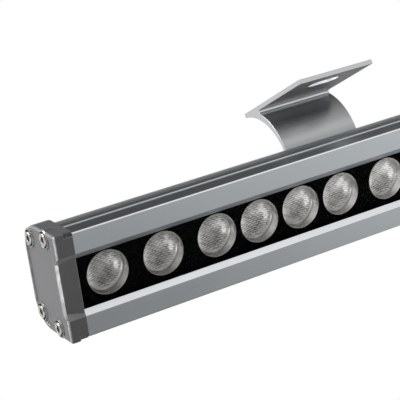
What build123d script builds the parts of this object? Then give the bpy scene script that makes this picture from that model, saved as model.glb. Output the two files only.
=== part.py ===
from build123d import *
import os
from math import asin, atan2, cos, degrees, radians, sin, sqrt

# Linear wall washer light on an arc bracket, in millimetres.
# Part frame: origin at the fixing slot in the top face of the bracket plate, +Z up, +X along the lamp.
# The lamp is drawn in its own frame first: X along the lamp, Y from its front to its back, Z across it.
# lamp_pose then hangs it under the plate, aimed forwards (-Y) and down.

os.makedirs("parts", exist_ok=True)

# ---------------------------------------------------------------- driving dimensions
# lenses
lens_count = 12
lens_diameter = 22.0
outer_pitch = 30.3          # first and last two gaps
inner_pitch = 24.9          # gaps inside each group of four
middle_pitch = 29.4         # gap in the middle of the lamp
end_margin = 26.5           # last lens centre to the end face of the cap

# lamp section
front_y = -4.5              # front face of the frame; y = 0 is a little in front of the lenses
back_y = 30.2
half_height = 26.0
edge_run = 0.42              # narrow bevel along the front edges
edge_rise = 0.56
shoulder_start_y = 9.0      # where the flat top ends and the ribbed shoulder begins
shoulder_radius = 37.5
corner_radius = 8.0

# front window
window_half = 12.8
bevel_half = 15.5
lip_front_y = -2.5
lip_back_y = -2.2
glass_front_y = -1.7
glass_thickness = 2.0
glass_half = 16.6
groove_half = 17.2
seal_gap = 0.05
seal_setback = 0.6          # the seal stays hidden behind the lip
groove_back_y = 0.35
chamber_half = 15.9
floor_y = 13.4
floor_thickness = 3.0
wall = 1.6
hollow_depth = 7.0          # hollows behind the floor
hollow_half = 15.5

# raised line between the flat top and the ribs, bevelled at its front
bead_front_y = 5.1
bead_back_y = 7.3
bead_height = 0.6
bead_bevel = 0.45

# cooling ribs and fins
rib_count = 11              # they stop short of the screw port in the corner
rib_pitch = 1.25
rib_gap = 0.6
rib_depth = 0.7
fin_gap = 1.4
fin_depth = 3.0
fin_pitch = 2.9
fin_count = 4

# slot for the T-bolt, in the back
slot_z = 5.4
slot_mouth = 6.6
slot_lip = 2.2
slot_inner = 10.6
slot_inner_depth = 4.8

# end caps
cap_length = 9.8
cap_proud = 0.7
cap_back_proud = 1.5
cap_corner_radius = 14.5
cap_edge_radius = 1.5
gasket_thickness = 1.0
gasket_inset = 1.5
cap_hollow = 6.0
cap_hollow_y = (3.0, 26.0)
cap_hollow_half = 14.0
rim_width = 2.4
front_rim_width = 4.8
panel_depth = 0.5
recess_depth_outer = 2.3
recess_depth_inner = 0.9
recess_half_outer = 12.2         # half height of the recess's floor, at the end face and at the lamp
recess_half_inner = 14.3
recess_flare = 0.6
recess_bevel = 1.3               # along its edge with the end face
corner_notch_length = 4.6        # small notches where the cap meets the lamp's front edges
corner_notch_height = 2.3
corner_notch_depth = 1.5

# M4 socket screws of the caps
screw_back = (25.1, 19.0)
screw_front = (7.5, 22.5)
screw_radius = 2.0
screw_clearance = 0.2
screw_head_radius = 3.5
screw_head_height = 4.0
screw_head_proud = 0.5
screw_head_chamfer = 0.4
screw_socket_flats = 3.0
screw_socket_floor = 2.0
screw_length = 20.0
counterbore_radius = 4.0
boss_radius = 4.9
boss_length = 7.6             # round the heads, standing a little out of the cap's sides
boss_edge_radius = 1.2
boss_end_radius = 3.4         # the bosses run out softly towards the lamp

# bracket
bracket_length = 46.0
plate_front_y = -14.0
plate_back_y = 49.4
plate_thickness = 2.3
arc_centre = (51.9, -28.7)   # y, z in the part frame
arc_inner_radius = 28.2
arc_outer_radius = 30.4
arc_end_angle = 78.0         # lower end of the arm, below the forward direction
root_radius = 27.0           # the arm thickens towards its root, which begins above this angle
root_angle = 8.0
root_middle_angle = 39.0
mount_slot_length = 18.0
mount_slot_width = 9.0
root_fillet = 1.2

# aim of the lamp
rest_aim = 26.0              # below the horizontal
aim_up_travel = 20.0
aim_down_travel = 35.0

# M6 clamp
bolt_radius = 3.0
bolt_slot_width = 6.6
bolt_head_flats = 10.0
bolt_head_height = 4.0
bolt_length = 16.0
bolt_seat_gap = 0.1
bolt_tip_chamfer = 0.6
bolt_hole_clearance = 0.2
washer_radius = 6.0
washer_thickness = 1.6
spring_washer_radius = 5.6
spring_washer_thickness = 1.6
spring_washer_split = 0.8
nut_flats = 10.0
nut_height = 5.0
saddle_half_height = 8.5
saddle_length = 24.0
saddle_depth = 5.0            # at its edges, before the hollow for the arm
saddle_seat_gap = 0.05
running_gap = 0.2

# ---------------------------------------------------------------- derived places
pitches = [outer_pitch] * 2 + [inner_pitch] * 3 + [middle_pitch] + [inner_pitch] * 3 + [outer_pitch] * 2
lens_span = sum(pitches)
lens_x = [sum(pitches[:i]) - lens_span / 2 for i in range(lens_count)]
half_length = lens_span / 2 + end_margin
housing_half = half_length - cap_length

# The lamp turns about the arc's centre, which lies straight behind the T-slot.
saddle_gap = 1.1
pivot_y = back_y + arc_outer_radius + saddle_gap
lamp_pose = (
    Pos(0, arc_centre[0], arc_centre[1])
    * Rot(X=rest_aim)
    * Pos(0, -pivot_y, -slot_z)
)


def section(outline, half, centre=0.0):
    """Extrude a (y, z) outline along X, by half to each side of centre."""
    return Pos(centre, 0, 0) * extrude(Plane.YZ * outline, amount=half, both=True)


def box_section(y_low, y_high, z_low, z_high):
    """Rectangle in the (y, z) plane."""
    return Pos((y_low + y_high) / 2, (z_low + z_high) / 2) * Rectangle(y_high - y_low, z_high - z_low)


def turned(points, x, z=0.0):
    """Revolve (radius, y) points about the line through (x, z) parallel to Y."""
    profile = make_face(Polyline(*points, close=True))
    return Pos(x, 0, z) * revolve(profile, Axis.Y)


def rod(radius, y_low, y_high, x=0.0, z=0.0):
    """Round bar parallel to Y."""
    return Pos(x, (y_low + y_high) / 2, z) * Rot(X=90) * Cylinder(radius, y_high - y_low)


def bar(radius, x_low, x_high, y=0.0, z=0.0):
    """Round bar parallel to X."""
    return Pos((x_low + x_high) / 2, y, z) * Rot(Y=90) * Cylinder(radius, x_high - x_low)


def hex_rod(flats, y_low, y_high, x=0.0, z=0.0):
    """Hexagonal bar parallel to Y, two of its flats level."""
    hexagon = RegularPolygon(flats / 2, 6, major_radius=False)
    return Pos(x, y_low, z) * Rot(X=-90) * extrude(hexagon, amount=y_high - y_low)


def hex_bar(flats, x_low, x_high, y=0.0, z=0.0):
    """Hexagonal bar parallel to X."""
    hexagon = RegularPolygon(flats / 2, 6, major_radius=False)
    return Pos(x_low, y, z) * Rot(Y=90) * extrude(hexagon, amount=x_high - x_low)


def save(name, *shapes):
    """Write one node, drawn in the part frame."""
    solids = [solid for shape in shapes for solid in shape.solids()]
    node = solids[0] if len(solids) == 1 else Compound(children=solids)
    export_step(node, f"parts/{name}.step")


def save_posed(name, *shapes):
    """Write one node, drawn in the lamp frame."""
    save(name, *[lamp_pose * shape for shape in shapes])


# ---------------------------------------------------------------- lamp section
shoulder_angle = asin((back_y - shoulder_start_y - corner_radius) / (shoulder_radius - corner_radius))
shoulder = JernArc((shoulder_start_y, half_height), (1, 0), shoulder_radius, -degrees(shoulder_angle))
corner = JernArc(shoulder @ 1, shoulder % 1, corner_radius, degrees(shoulder_angle) - 90)


def mirrored_face(*upper_edges):
    """Face inside the upper edges and their mirror image below."""
    upper = Curve() + list(upper_edges)
    return make_face(upper + mirror(upper, about=Plane.XZ))


def housing_outline():
    """Outer outline of the extrusion: flat front and top, curved shoulders, flat back."""
    return mirrored_face(
        Line((front_y, 0), (front_y, half_height - edge_rise)),
        Line((front_y, half_height - edge_rise), (front_y + edge_run, half_height)),
        Line((front_y + edge_run, half_height), (shoulder_start_y, half_height)),
        shoulder,
        corner,
        Line(corner @ 1, (back_y, 0)),
    )


def bead():
    """Raised line along the top."""
    top = half_height + bead_height
    root = half_height - wall / 2
    return make_face(Polyline(
        (bead_front_y, root), (bead_front_y, half_height), (bead_front_y + bead_bevel, top),
        (bead_back_y, top), (bead_back_y, root), close=True,
    ))


def rib_grooves():
    """Fine grooves along the shoulder."""
    grooves = []
    for i in range(rib_count):
        t = (rib_gap + (i + 0.5) * rib_pitch) / shoulder.length
        place, along = shoulder @ t, shoulder % t
        angle = degrees(atan2(along.Y, along.X))
        grooves.append(Pos(place.X, place.Y) * Rot(Z=angle) * Rectangle(rib_gap, 2 * rib_depth))
    return grooves


def housing_section():
    """Hollow section of the aluminium extrusion."""
    face = housing_outline() + bead() + mirror(bead(), about=Plane.XZ)
    # window, its bevelled frame and the groove that holds the glass
    face -= mirrored_face(
        Line((front_y, 0), (front_y, bevel_half)),
        Line((front_y, bevel_half), (lip_front_y, window_half)),
        Line((lip_front_y, window_half), (lip_back_y, window_half)),
        Line((lip_back_y, window_half), (lip_back_y, 0)),
    )
    face -= box_section(lip_back_y, groove_back_y, -groove_half, groove_half)
    face -= box_section(groove_back_y, floor_y, -chamber_half, chamber_half)
    # hollow sides, and the screw ports that stand in them
    side_low = groove_half + wall
    side_high = half_height - wall
    pocket = box_section(front_y + wall, floor_y, side_low, side_high)
    pocket -= Pos(*screw_front) * Circle(screw_radius + wall)
    for side in (pocket, mirror(pocket, about=Plane.XZ)):
        face -= side
    # hollows between the floor and the back
    back_floor = floor_y + floor_thickness
    slot_side = slot_inner / 2 + wall
    face -= box_section(back_floor, back_floor + hollow_depth, slot_z + slot_side, hollow_half)
    face -= box_section(back_floor, back_floor + hollow_depth, -hollow_half, slot_z - slot_side)
    # T-slot
    face -= box_section(back_y - slot_lip, back_y, slot_z - slot_mouth / 2, slot_z + slot_mouth / 2)
    slot_bottom = back_y - slot_lip - slot_inner_depth
    face -= box_section(slot_bottom, back_y - slot_lip, slot_z - slot_inner / 2, slot_z + slot_inner / 2)
    # screw ports
    for y, z in (screw_back, screw_front):
        for side in (1, -1):
            face -= Pos(y, side * z) * Circle(screw_radius)
    # ribs on both shoulders, fins beside the T-slot
    for groove in rib_grooves():
        face -= groove
        face -= mirror(groove, about=Plane.XZ)
    for k in range(fin_count):
        z = slot_z - saddle_half_height - fin_pitch * (k + 0.6)
        face -= box_section(back_y - fin_depth, back_y, z - fin_gap / 2, z + fin_gap / 2)
    return face


# ---------------------------------------------------------------- light engine
board_thickness = 1.6
pad_thickness = 0.5
board_half_width = 13.5
board_half_length = 161.0
board_y = floor_y - pad_thickness - board_thickness
side_row_z = 11.0             # screws and chips stand in rows beside the lenses

# bowl and body of a lens, depths from its rim
lens_rim_y = 0.45
lens_rim_radius = 10.7
lens_wall_radius = 10.2
lens_wall_depth = 4.8
lens_face_radius = 8.9
lens_face_depth = 6.1
lens_centre_depth = 6.6
lens_side_depth = 6.2
lens_foot_radius = 5.2
lens_foot_gap = 0.6
pocket_mouth_radius = 3.0
pocket_top_radius = 2.6
pocket_side_height = 2.4
pocket_height = 2.7

# holder of a lens
mask_thickness = 0.8
mask_half_width = 15.7
lens_clearance = 0.15
holder_front_y = lens_rim_y + mask_thickness + 0.05
holder_radius = 12.2
holder_seat_radius = 11.15
holder_seat_depth = 6.35
holder_foot_radius = 6.2
holder_foot_height = 0.7

# parts on the board
emitter_width = 3.45
emitter_height = 0.8
dome_radius = 1.3
regulator_size = (4.9, 1.5, 3.9)
terminal_size = (7.0, 5.0, 4.6)
terminal_hole_radius = 1.1
terminal_hole_offset = 1.7
terminal_hole_depth = 2.4
board_screw_radius = 1.5
board_screw_head_radius = 2.75
board_screw_head_height = 2.0
board_screw_socket = (2.0, 1.2)      # across flats, depth

gap_middles = [(a + b) / 2 for a, b in zip(lens_x, lens_x[1:])]
board_screw_x = [gap_middles[i] for i in (0, 3, 7, 10)]
regulator_x = [gap_middles[i] for i in (1, 2, 8, 9)]
terminal_x = gap_middles[6]


def housing():
    body = section(housing_section(), housing_half)
    for x in board_screw_x:
        for z in (side_row_z, -side_row_z):
            body -= rod(board_screw_radius, floor_y - 1, floor_y + floor_thickness + 1, x, z)
    return body


def glass():
    return section(box_section(glass_front_y, glass_front_y + glass_thickness, -glass_half, glass_half),
                   housing_half - 0.1)


def glass_seal(side):
    """L-shaped silicone strip between the glass edge and the frame."""
    edge = groove_half - seal_gap
    strip = box_section(lip_back_y + seal_gap, glass_front_y, window_half + seal_setback, edge)
    strip += box_section(glass_front_y, glass_front_y + glass_thickness, glass_half, edge)
    if side < 0:
        strip = mirror(strip, about=Plane.XZ)
    return section(strip, housing_half - 0.1)


def mask():
    """Black plate round the lenses."""
    plate = section(
        box_section(lens_rim_y, lens_rim_y + mask_thickness, -mask_half_width, mask_half_width),
        housing_half - 0.3)
    for x in lens_x:
        plate -= rod(lens_diameter / 2 + lens_clearance, lens_rim_y - 1, lens_rim_y + mask_thickness + 1, x)
    return plate


def lens(x):
    """Collimator: open rim, sunk bowl, cone behind it and a pocket for the emitter."""
    radius = lens_diameter / 2
    foot_y = board_y - lens_foot_gap
    return turned(
        [
            (0, lens_rim_y + lens_centre_depth),
            (lens_face_radius, lens_rim_y + lens_face_depth),
            (lens_wall_radius, lens_rim_y + lens_wall_depth),
            (lens_rim_radius, lens_rim_y),
            (radius, lens_rim_y),
            (radius, lens_rim_y + lens_side_depth),
            (lens_foot_radius, foot_y),
            (pocket_mouth_radius, foot_y),
            (pocket_top_radius, foot_y - pocket_side_height),
            (0, foot_y - pocket_height),
        ],
        x,
    )


def lens_holder(x):
    """Black cup that carries one lens on the board."""
    return turned(
        [
            (lens_diameter / 2 + lens_clearance, holder_front_y),
            (holder_radius, holder_front_y),
            (holder_radius, board_y),
            (holder_foot_radius, board_y),
            (holder_foot_radius, board_y - holder_foot_height),
            (holder_seat_radius, lens_rim_y + holder_seat_depth),
        ],
        x,
    )


def emitter(x):
    """Ceramic package with its clear dome."""
    package = Pos(x, board_y - emitter_height / 2, 0) * Box(emitter_width, emitter_height, emitter_width)
    top_y = board_y - emitter_height
    dome = Pos(x, top_y, 0) * Sphere(dome_radius)
    dome -= Pos(x, top_y + dome_radius, 0) * Box(2 * emitter_width, 2 * dome_radius, 2 * emitter_width)
    return package + dome


def board():
    plate = section(box_section(board_y, board_y + board_thickness, -board_half_width, board_half_width),
                    board_half_length)
    for x in board_screw_x:
        for z in (side_row_z, -side_row_z):
            plate -= rod(board_screw_radius + 0.1, board_y - 1, floor_y + 1, x, z)
    return plate


def thermal_pad():
    pad = section(box_section(floor_y - pad_thickness, floor_y, -board_half_width, board_half_width),
                  board_half_length)
    for x in board_screw_x:
        for z in (side_row_z, -side_row_z):
            pad -= rod(board_screw_radius + 0.3, floor_y - 2, floor_y + 1, x, z)
    return pad


def board_screw(x, z):
    top_y = board_y - board_screw_head_height
    flats, depth = board_screw_socket
    head = rod(board_screw_head_radius, top_y, board_y, x, z) - hex_rod(flats, top_y, top_y + depth, x, z)
    return head + rod(board_screw_radius - 0.05, board_y - 0.1, floor_y + floor_thickness, x, z)


def regulator(x, z):
    """Current regulator chip in its moulded package."""
    return Pos(x, board_y - regulator_size[1] / 2, z) * Box(*regulator_size)


def terminal_block():
    """Two-way terminal for the supply cores."""
    height = terminal_size[1]
    block = Pos(terminal_x, board_y - height / 2, -side_row_z) * Box(*terminal_size)
    hole_end = board_y - height + terminal_hole_depth
    for dx in (-terminal_hole_offset, terminal_hole_offset):
        block -= rod(terminal_hole_radius, hole_end - height, hole_end, terminal_x + dx, -side_row_z)
    return block


# ---------------------------------------------------------------- end caps
cap_front_y = front_y - 0.1
cap_half = half_height + cap_proud
cap_back_y = back_y + cap_back_proud


def cap_outline(shrink=0.0):
    """Cap outline: square front corners, round back corners."""
    return mirrored_face(
        Line((cap_front_y + shrink, 0), (cap_front_y + shrink, cap_half - shrink)),
        Line((cap_front_y + shrink, cap_half - shrink), (cap_back_y - cap_corner_radius, cap_half - shrink)),
        JernArc((cap_back_y - cap_corner_radius, cap_half - shrink), (1, 0), cap_corner_radius - shrink, -90),
        Line((cap_back_y - shrink, cap_half - cap_corner_radius), (cap_back_y - shrink, 0)),
    )


def screw_places():
    return [(y, side * z) for y, z in (screw_back, screw_front) for side in (1, -1)]


def gasket_outline(inset):
    """Housing outline drawn in by inset."""
    return offset(housing_outline(), -inset)


def hollow_outline():
    """Hollow that opens from the inside of the cap towards the lamp."""
    return box_section(*cap_hollow_y, -cap_hollow_half, cap_hollow_half)


def front_recess(x_outer, x_inner):
    """Hollow in the front of the cap: it carries on the window's bevels and runs out at the lamp."""
    def cross_section(x, depth, bottom_half):
        outline = Polyline(
            (cap_front_y - 1, bevel_half + recess_flare),
            (cap_front_y, bevel_half),
            (cap_front_y + depth, bottom_half),
            (cap_front_y + depth, -bottom_half),
            (cap_front_y, -bevel_half),
            (cap_front_y - 1, -bevel_half - recess_flare),
            close=True,
        )
        return Pos(x, 0, 0) * (Plane.YZ * make_face(outline))
    outer = cross_section(x_outer, recess_depth_outer, recess_half_outer)
    inner = cross_section(x_inner, recess_depth_inner, recess_half_inner)
    mouth = cross_section(x_outer, recess_depth_outer + recess_bevel, recess_half_outer)
    throat = cross_section(x_outer + recess_bevel, recess_depth_outer - recess_flare / 2, recess_half_outer)
    return loft([outer, inner], ruled=True) + loft([mouth, throat], ruled=True)


def corner_notches(x_inner):
    """Notches in both front corners of the cap, beside the lamp."""
    length = corner_notch_length + 1
    for side in (1, -1):
        yield Pos(x_inner - corner_notch_length + length / 2, cap_front_y, side * cap_half) * Box(
            length, 2 * corner_notch_depth, 2 * corner_notch_height)


def end_cap_blank():
    """Left end cap, with its outer face at x = -half_length."""
    outer_x = -half_length
    inner_x = outer_x + cap_length
    body = Pos(outer_x, 0, 0) * extrude(Plane.YZ * cap_outline(), amount=cap_length)
    body = fillet(body.faces().sort_by(Axis.X)[0].edges(), cap_edge_radius)
    for y, z in screw_places():
        boss = bar(boss_radius, outer_x, outer_x + boss_length, y, z)
        boss = fillet(boss.edges().filter_by(GeomType.CIRCLE).sort_by(Axis.X)[0], boss_edge_radius)
        body += fillet(boss.edges().filter_by(GeomType.CIRCLE).sort_by(Axis.X)[-1], boss_end_radius)
    body -= front_recess(outer_x - 0.01, inner_x + 0.01)
    for notch in corner_notches(inner_x):
        body -= notch
    # sunk panel inside the rim, with bosses left round the screws
    panel = cap_outline(rim_width)
    panel &= box_section(cap_front_y + front_rim_width, cap_back_y, -cap_half, cap_half)
    for y, z in screw_places():
        panel -= Pos(y, z) * Circle(boss_radius)
    body -= Pos(outer_x - 1, 0, 0) * extrude(Plane.YZ * panel.faces().sort_by(SortBy.AREA)[-1],
                                             amount=panel_depth + 1)
    # gasket seat and the hollow behind it
    body -= Pos(inner_x - gasket_thickness, 0, 0) * extrude(
        Plane.YZ * gasket_outline(gasket_inset), amount=gasket_thickness + 1)
    body -= Pos(inner_x - cap_hollow, 0, 0) * extrude(Plane.YZ * hollow_outline(), amount=cap_hollow + 1)
    # screw holes and counterbores
    seat_x = outer_x - screw_head_proud + screw_head_height
    for y, z in screw_places():
        body -= bar(screw_radius + screw_clearance, outer_x - 1, inner_x + 1, y, z)
        body -= bar(counterbore_radius, outer_x - 5, seat_x, y, z)
    return body


def cap_gasket():
    """Flat rubber gasket in the seat of the left cap."""
    inner_x = -housing_half
    ring = gasket_outline(gasket_inset + 0.1) - hollow_outline()
    ring -= [Pos(y, z) * Circle(screw_radius + 0.4) for y, z in screw_places()]
    return Pos(inner_x - gasket_thickness, 0, 0) * extrude(Plane.YZ * ring, amount=gasket_thickness)


def cap_screw(y, z):
    """Socket head screw of the left cap."""
    seat_x = -half_length - screw_head_proud + screw_head_height
    head = bar(screw_head_radius, seat_x - screw_head_height, seat_x, y, z)
    head = chamfer(head.edges().filter_by(GeomType.CIRCLE).sort_by(Axis.X)[0], screw_head_chamfer)
    head -= hex_bar(screw_socket_flats, seat_x - screw_head_height - 1, seat_x - screw_socket_floor, y, z)
    return head + bar(screw_radius - 0.02, seat_x - 0.1, seat_x + screw_length, y, z)


def right_side(shape):
    return mirror(shape, about=Plane.YZ)


# ---------------------------------------------------------------- cable gland, in the right cap
gland_y = 15.0
gland_x = half_length - panel_depth           # outer face of the cap's panel
gland_wall = cap_length - cap_hollow          # thickness of the cap behind its hollow
gland_thread_radius = 6.0
gland_flats = 16.0
gland_hex_length = 5.0
gland_neck_radius = 6.6
gland_neck_length = 4.8
gland_bore_radius = 4.0
gland_ring_radius = 8.0
gland_ring_thickness = 1.0
locknut_flats = 15.0
locknut_height = 2.4
seal_radius = 5.15
seal_length = 8.0
cable_radius = 3.3
dome_nut_gap = 0.5
dome_nut_length = 7.0
dome_length = 4.0
dome_outer_radius = 7.6
dome_fillet = 2.6
dome_mouth_radius = 4.2
gland_hex_x = gland_x + gland_ring_thickness
gland_seat_x = gland_hex_x + gland_hex_length


def gland_body():
    neck_end = gland_seat_x + gland_neck_length
    body = hex_bar(gland_flats, gland_hex_x, gland_seat_x, gland_y)
    body += bar(gland_thread_radius, gland_x - gland_wall - locknut_height, gland_hex_x + 0.1, gland_y)
    body += bar(gland_neck_radius, gland_seat_x - 0.1, neck_end, gland_y)
    body -= bar(gland_bore_radius, gland_x - 20, gland_seat_x, gland_y)
    return body - bar(seal_radius + 0.05, gland_seat_x, neck_end + 1, gland_y)


def gland_ring():
    ring = bar(gland_ring_radius, gland_x, gland_hex_x, gland_y)
    return ring - bar(gland_thread_radius, gland_x - 1, gland_hex_x + 1, gland_y)


def gland_locknut():
    high = gland_x - gland_wall + panel_depth
    nut = hex_bar(locknut_flats, high - locknut_height, high, gland_y)
    return nut - bar(gland_thread_radius, high - locknut_height - 1, high + 1, gland_y)


def gland_seal():
    seal = bar(seal_radius, gland_seat_x, gland_seat_x + seal_length, gland_y)
    return seal - bar(cable_radius, gland_seat_x - 1, gland_seat_x + seal_length + 1, gland_y)


def gland_cap_nut():
    """Dome nut that squeezes the seal round the cable."""
    low = gland_seat_x + dome_nut_gap
    shoulder_x = low + dome_nut_length
    dome = bar(dome_outer_radius, shoulder_x, shoulder_x + dome_length, gland_y)
    dome = fillet(dome.edges().filter_by(GeomType.CIRCLE).sort_by(Axis.X)[-1], dome_fillet)
    nut = hex_bar(gland_flats, low, shoulder_x, gland_y) + dome
    nut -= bar(gland_neck_radius + 0.02, low - 1, low + dome_nut_length - 2.4, gland_y)
    nut -= bar(seal_radius + 0.15, low - 1, shoulder_x + 1, gland_y)
    return nut - bar(dome_mouth_radius, low - 1, shoulder_x + dome_length + 1, gland_y)


# ---------------------------------------------------------------- bracket
def arc_point(radius, degrees_down):
    """Point on the arc, at an angle below the forward (-Y) direction."""
    a = radians(180 + degrees_down)
    return arc_centre[0] + radius * cos(a), arc_centre[1] + radius * sin(a)


def bracket():
    """Extruded bracket: flat plate on top, arm that curls forwards and down from its back edge."""
    outer = CenterArc(arc_centre, arc_outer_radius, 90, 90 + arc_end_angle)
    inner = CenterArc(arc_centre, arc_inner_radius, 180 - root_angle, root_angle + arc_end_angle)
    tip = (plate_back_y, -plate_thickness)
    root = ThreePointArc(inner @ 0, arc_point(root_radius, -root_middle_angle), tip)
    arm = make_face(Curve() + [
        outer, Line(outer @ 1, inner @ 1), inner, root, Line(tip, outer @ 0),
    ])
    arm &= box_section(-100, plate_back_y, -100, 0)
    profile = arm + box_section(plate_front_y, plate_back_y, -plate_thickness, 0)
    junction_y = arc_centre[0] - sqrt(arc_outer_radius ** 2 - (arc_centre[1] + plate_thickness) ** 2)
    junction = profile.vertices().sort_by_distance((junction_y, -plate_thickness))[0]
    profile = fillet(junction, root_fillet)
    body = section(profile, bracket_length / 2)
    body -= Pos(0, 0, -plate_thickness) * extrude(
        SlotOverall(mount_slot_length, mount_slot_width), amount=3 * plate_thickness, both=True)
    return body - arm_slot()


def arm_slot():
    """Arc slot that the bolt travels in."""
    half_width = bolt_slot_width / 2
    margin = degrees(half_width / arc_outer_radius) * 1.02
    high = rest_aim - aim_up_travel
    low = rest_aim + aim_down_travel
    ring = Pos(*arc_centre) * (Circle(arc_outer_radius + 3) - Circle(arc_inner_radius - 3))
    reach = 2 * arc_outer_radius
    a, b = radians(180 + high), radians(180 + low)
    wedge = make_face(Polyline(
        arc_centre,
        (arc_centre[0] + reach * cos(a), arc_centre[1] + reach * sin(a)),
        (arc_centre[0] + reach * cos(b), arc_centre[1] + reach * sin(b)),
        close=True,
    ))
    slot = section(ring & wedge, half_width)
    for angle in (high - margin * 0.02, low + margin * 0.02):
        y, z = arc_point(arc_outer_radius, angle)
        slot += Pos(0, y, z) * Rot(X=90 + angle) * Cylinder(half_width, 12)
    return slot


# ---------------------------------------------------------------- clamp, drawn in the lamp frame
bolt_seat_y = back_y - slot_lip
washer_gap = 0.08
washer_y = pivot_y - sqrt(arc_inner_radius ** 2 - washer_radius ** 2) + washer_gap


def t_bolt():
    under_head = bolt_seat_y - bolt_seat_gap
    head = hex_rod(bolt_head_flats, under_head - bolt_head_height, under_head, z=slot_z)
    shank = rod(bolt_radius, under_head - 0.1, under_head + bolt_length, z=slot_z)
    tip = shank.edges().filter_by(GeomType.CIRCLE).sort_by(Axis.Y)[-1]
    return head + chamfer(tip, bolt_tip_chamfer)


def saddle():
    """Spacer block: flat on the lamp's back, hollowed to the arc of the arm."""
    front = back_y + saddle_seat_gap
    block = section(
        box_section(front, front + saddle_depth, slot_z - saddle_half_height, slot_z + saddle_half_height),
        saddle_length / 2)
    block -= bar(arc_outer_radius + running_gap, -saddle_length, saddle_length, pivot_y, slot_z)
    return block - rod(bolt_radius + bolt_hole_clearance, front - 1, front + 2 * saddle_depth, z=slot_z)


def flat_washer():
    ring = rod(washer_radius, washer_y, washer_y + washer_thickness, z=slot_z)
    return ring - rod(bolt_radius + bolt_hole_clearance, washer_y - 1, washer_y + 5, z=slot_z)


def spring_washer():
    low = washer_y + washer_thickness
    ring = rod(spring_washer_radius, low, low + spring_washer_thickness, z=slot_z)
    ring -= rod(bolt_radius + bolt_hole_clearance, low - 1, low + 5, z=slot_z)
    split = Box(spring_washer_split, 2 * spring_washer_thickness, spring_washer_radius)
    middle = (bolt_radius + spring_washer_radius) / 2
    return ring - Pos(0, low + spring_washer_thickness / 2, slot_z + middle) * Rot(Y=20) * split


def clamp_nut():
    low = washer_y + washer_thickness + spring_washer_thickness
    nut = hex_rod(nut_flats, low, low + nut_height, z=slot_z)
    return nut - rod(bolt_radius, low - 1, low + nut_height + 1, z=slot_z)


# ---------------------------------------------------------------- build and write
save("bracket", bracket())

save_posed("clamp_saddle", saddle())
save_posed("clamp_t_bolt", t_bolt())
save_posed("clamp_flat_washer", flat_washer())
save_posed("clamp_spring_washer", spring_washer())
save_posed("clamp_nut", clamp_nut())

save_posed("housing", housing())
save_posed("front_glass", glass())
save_posed("glass_seal_upper", glass_seal(1))
save_posed("glass_seal_lower", glass_seal(-1))
save_posed("lens_mask", mask())
for number, place in enumerate(lens_x, start=1):
    save_posed(f"lens_{number:02d}", lens(place))
save_posed("lens_holders", *[lens_holder(x) for x in lens_x])
save_posed("led_emitters", *[emitter(x) for x in lens_x])
save_posed("led_board", board())
save_posed("thermal_pad", thermal_pad())
save_posed("board_screws", *[board_screw(x, z) for x in board_screw_x for z in (side_row_z, -side_row_z)])
save_posed("current_regulators", *[regulator(x, z) for x in regulator_x for z in (side_row_z, -side_row_z)])
save_posed("supply_terminal", terminal_block())

left_cap = end_cap_blank()
save_posed("end_cap_left", left_cap)
save_posed("end_cap_right",
           right_side(left_cap) - bar(gland_thread_radius, half_length - 20, half_length + 1, gland_y))
save_posed("cap_gasket_left", cap_gasket())
save_posed("cap_gasket_right", right_side(cap_gasket()))
left_screws = [cap_screw(y, z) for y, z in screw_places()]
save_posed("cap_screws_left", *left_screws)
save_posed("cap_screws_right", *[right_side(s) for s in left_screws])

save_posed("gland_body", gland_body())
save_posed("gland_ring", gland_ring())
save_posed("gland_locknut", gland_locknut())
save_posed("gland_seal", gland_seal())
save_posed("gland_cap_nut", gland_cap_nut())
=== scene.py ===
import math

import bmesh
import bpy
from mathutils import Matrix, Vector, geometry


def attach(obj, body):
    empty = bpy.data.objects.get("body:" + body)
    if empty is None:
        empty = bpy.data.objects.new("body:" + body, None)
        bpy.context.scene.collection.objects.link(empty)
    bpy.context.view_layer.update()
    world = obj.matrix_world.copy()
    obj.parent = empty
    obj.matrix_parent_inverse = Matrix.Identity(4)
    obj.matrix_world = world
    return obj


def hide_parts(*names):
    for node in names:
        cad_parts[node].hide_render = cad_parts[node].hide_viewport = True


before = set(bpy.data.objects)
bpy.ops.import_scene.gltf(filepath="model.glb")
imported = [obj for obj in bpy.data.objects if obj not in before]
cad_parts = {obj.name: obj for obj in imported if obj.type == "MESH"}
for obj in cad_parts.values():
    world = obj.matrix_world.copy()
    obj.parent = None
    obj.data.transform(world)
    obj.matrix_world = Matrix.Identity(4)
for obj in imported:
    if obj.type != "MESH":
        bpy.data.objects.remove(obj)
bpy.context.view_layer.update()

bl_info = {
    "name": "Linear wall washer light",
    "version": (1, 0, 0),
    "blender": (4, 5, 0),
    "location": "View3D > Sidebar > Wall washer",
    "description": "Dresses the packed wall washer light: paints, lenses, screws, clamp and stage",
    "category": "Object",
}

MM = 0.001

# ------------------------------------------------------------------ the lamp's own frame, in millimetres
# x along the lamp, y from its front to its back, z across it
REST_AIM = math.radians(26.0)
ARC_CENTRE = (0.0, 51.9, -28.7)
PIVOT_Y = 61.7
SLOT_Z = 5.4
HALF_LENGTH = 176.5
OUTER_PITCH, INNER_PITCH, MIDDLE_PITCH = 30.3, 24.9, 29.4
PITCHES = [OUTER_PITCH] * 2 + [INNER_PITCH] * 3 + [MIDDLE_PITCH] + [INNER_PITCH] * 3 + [OUTER_PITCH] * 2
LENS_X = [sum(PITCHES[:i]) - sum(PITCHES) / 2 for i in range(len(PITCHES) + 1)]
CAP_SCREWS = [(25.1, 19.0), (25.1, -19.0), (7.5, 22.5), (7.5, -22.5)]

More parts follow.
